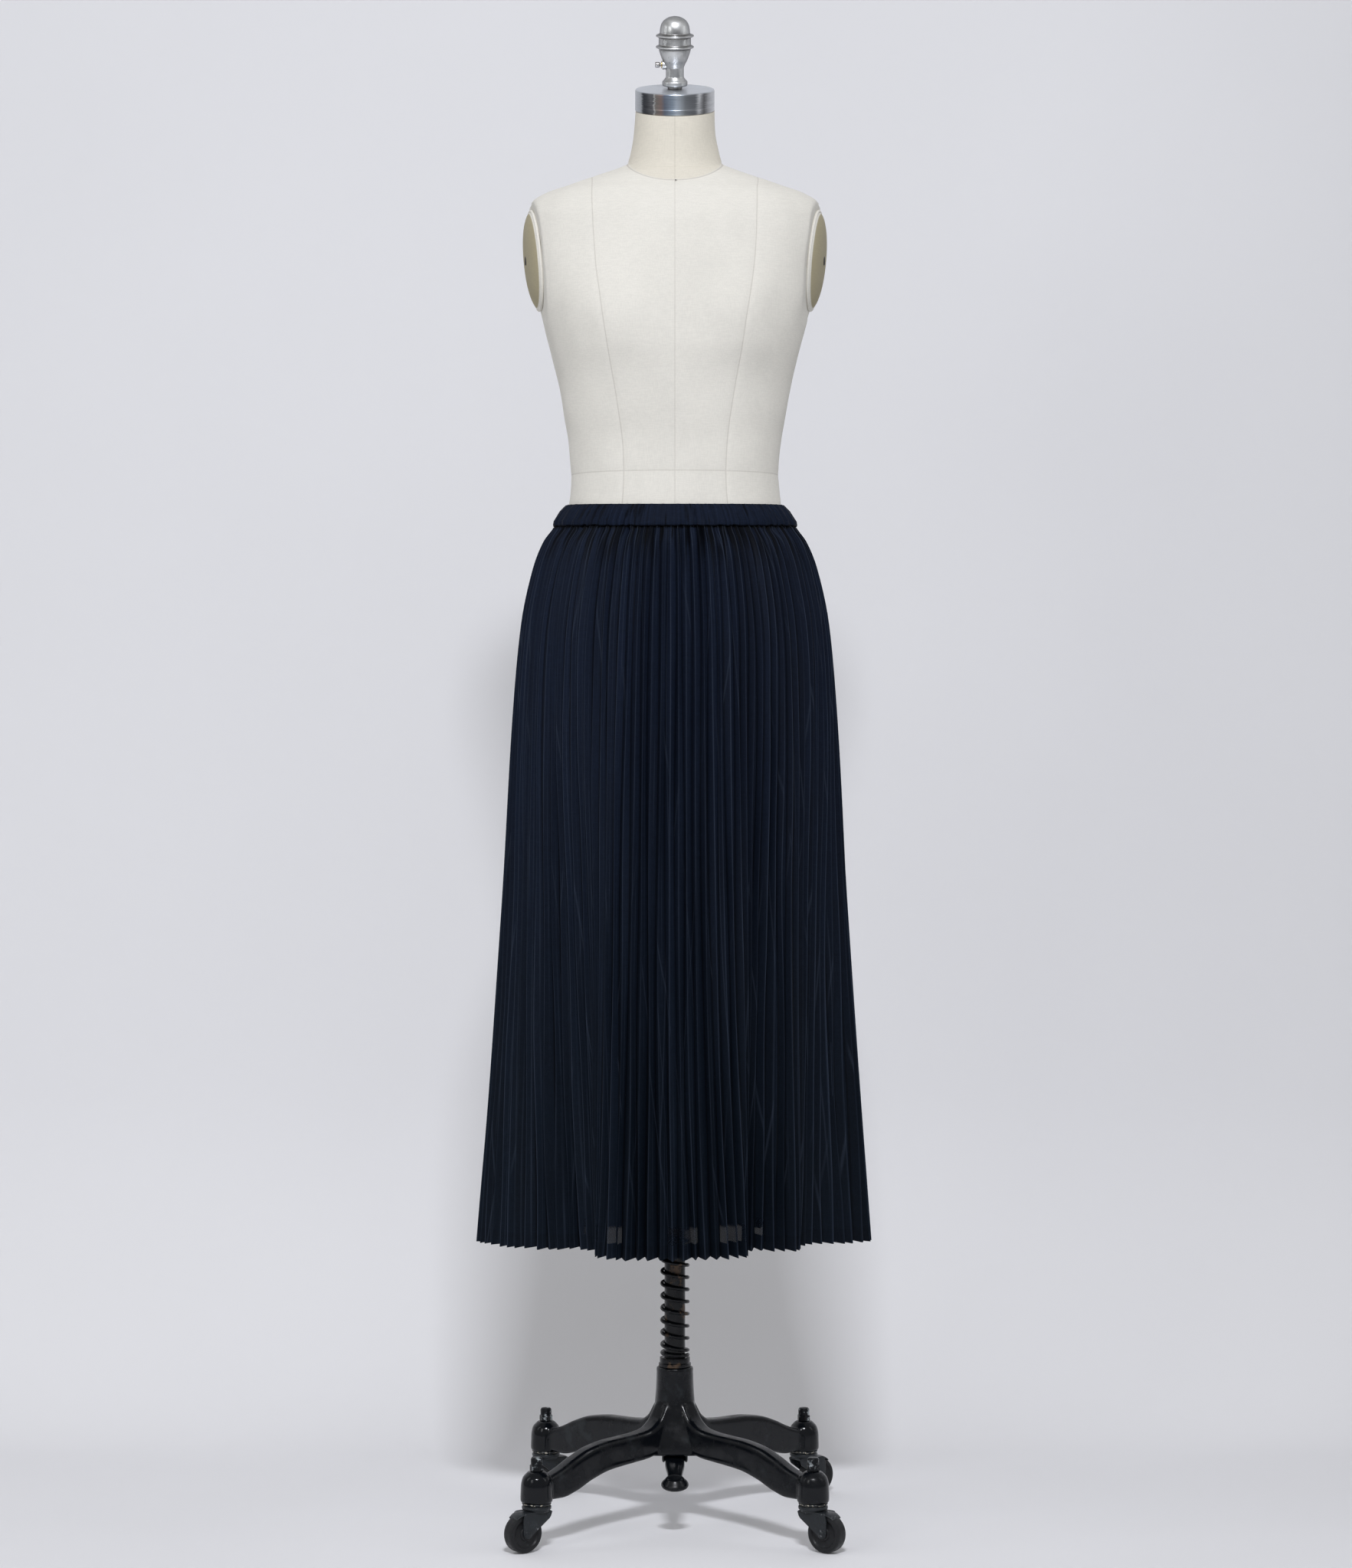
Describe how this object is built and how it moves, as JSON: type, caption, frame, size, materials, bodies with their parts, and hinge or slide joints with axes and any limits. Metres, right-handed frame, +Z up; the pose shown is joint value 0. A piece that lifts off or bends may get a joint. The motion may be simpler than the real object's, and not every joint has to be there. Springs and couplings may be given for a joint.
{
  "type": "pleated skirt on dress form",
  "caption": "Midi skirt with fine all-round pleats and a gathered waistband, worn by a limbless dress form on a height-adjusting castor stand.",
  "frame": {"origin": "on the floor, under the middle of the post", "axes": "+Z up along the post, -Y to the garment's front, +X to the right of someone facing it"},
  "size_m": [0.4377, 0.352, 1.6643],
  "materials": {
    "navy_cloth": "matte",
    "form_canvas": "matte",
    "polished_metal": "polished",
    "cast_metal": "satin",
    "black_iron": "satin",
    "black_steel": "gloss",
    "black_rubber": "satin"
  },
  "bodies": {
    "stand": {"stand_casting": "black_iron", "spring_seat": "black_steel", "spring": "black_steel", "castor_nut_front_left": "black_steel", "castor_nut_front_right": "black_steel", "castor_nut_back_left": "black_steel", "castor_nut_back_right": "black_steel"},
    "form": {"post": "black_steel", "spring_stop": "black_steel", "form_flange": "black_steel", "form_torso": "form_canvas", "arm_plate_left": "form_canvas", "arm_plate_right": "form_canvas", "neck_cap": "polished_metal", "finial": "cast_metal", "finial_screw": "cast_metal", "waistband": "navy_cloth", "skirt_front": "navy_cloth", "skirt_back": "navy_cloth"},
    "pedal": {"pedal": "black_iron"},
    "castor_front_left": {"castor_fork_front_left": "black_iron"},
    "castor_front_right": {"castor_fork_front_right": "black_iron"},
    "castor_back_left": {"castor_fork_back_left": "black_iron"},
    "castor_back_right": {"castor_fork_back_right": "black_iron"},
    "wheel_front_left": {"castor_wheel_front_left": "black_rubber"},
    "wheel_front_right": {"castor_wheel_front_right": "black_rubber"},
    "wheel_back_left": {"castor_wheel_back_left": "black_rubber"},
    "wheel_back_right": {"castor_wheel_back_right": "black_rubber"}
  },
  "joints": [
    {"name": "form_height", "type": "slide", "parent": "stand", "child": "form", "axis": [0, 0, 1], "range_m": [-0.06, 0.04], "deforming": ["spring"]},
    {"name": "pedal_press", "type": "hinge", "parent": "stand", "child": "pedal", "pos_m": [0, -0.0215, 0.074], "axis": [1, 0, 0], "range_deg": [0, 15], "stiffness_Nm_per_rad": 1.5, "springref_deg": -5.73},
    {"name": "swivel_front_left", "type": "hinge", "parent": "stand", "child": "castor_front_left", "pos_m": [-0.148, -0.148, 0.05], "axis": [0, 0, 1], "continuous": true},
    {"name": "swivel_front_right", "type": "hinge", "parent": "stand", "child": "castor_front_right", "pos_m": [0.148, -0.148, 0.05], "axis": [0, 0, 1], "continuous": true},
    {"name": "swivel_back_left", "type": "hinge", "parent": "stand", "child": "castor_back_left", "pos_m": [-0.148, 0.148, 0.05], "axis": [0, 0, 1], "continuous": true},
    {"name": "swivel_back_right", "type": "hinge", "parent": "stand", "child": "castor_back_right", "pos_m": [0.148, 0.148, 0.05], "axis": [0, 0, 1], "continuous": true},
    {"name": "roll_front_left", "type": "hinge", "parent": "castor_front_left", "child": "wheel_front_left", "pos_m": [-0.16224, -0.15868, 0.0205], "axis": [0.6, -0.8, 0], "continuous": true},
    {"name": "roll_front_right", "type": "hinge", "parent": "castor_front_right", "child": "wheel_front_right", "pos_m": [0.16224, -0.15868, 0.0205], "axis": [0.6, 0.8, 0], "continuous": true},
    {"name": "roll_back_left", "type": "hinge", "parent": "castor_back_left", "child": "wheel_back_left", "pos_m": [-0.13376, 0.15868, 0.0205], "axis": [0.6, -0.8, 0], "continuous": true},
    {"name": "roll_back_right", "type": "hinge", "parent": "castor_back_right", "child": "wheel_back_right", "pos_m": [0.16224, 0.15868, 0.0205], "axis": [0.6, -0.8, 0], "continuous": true}
  ]
}
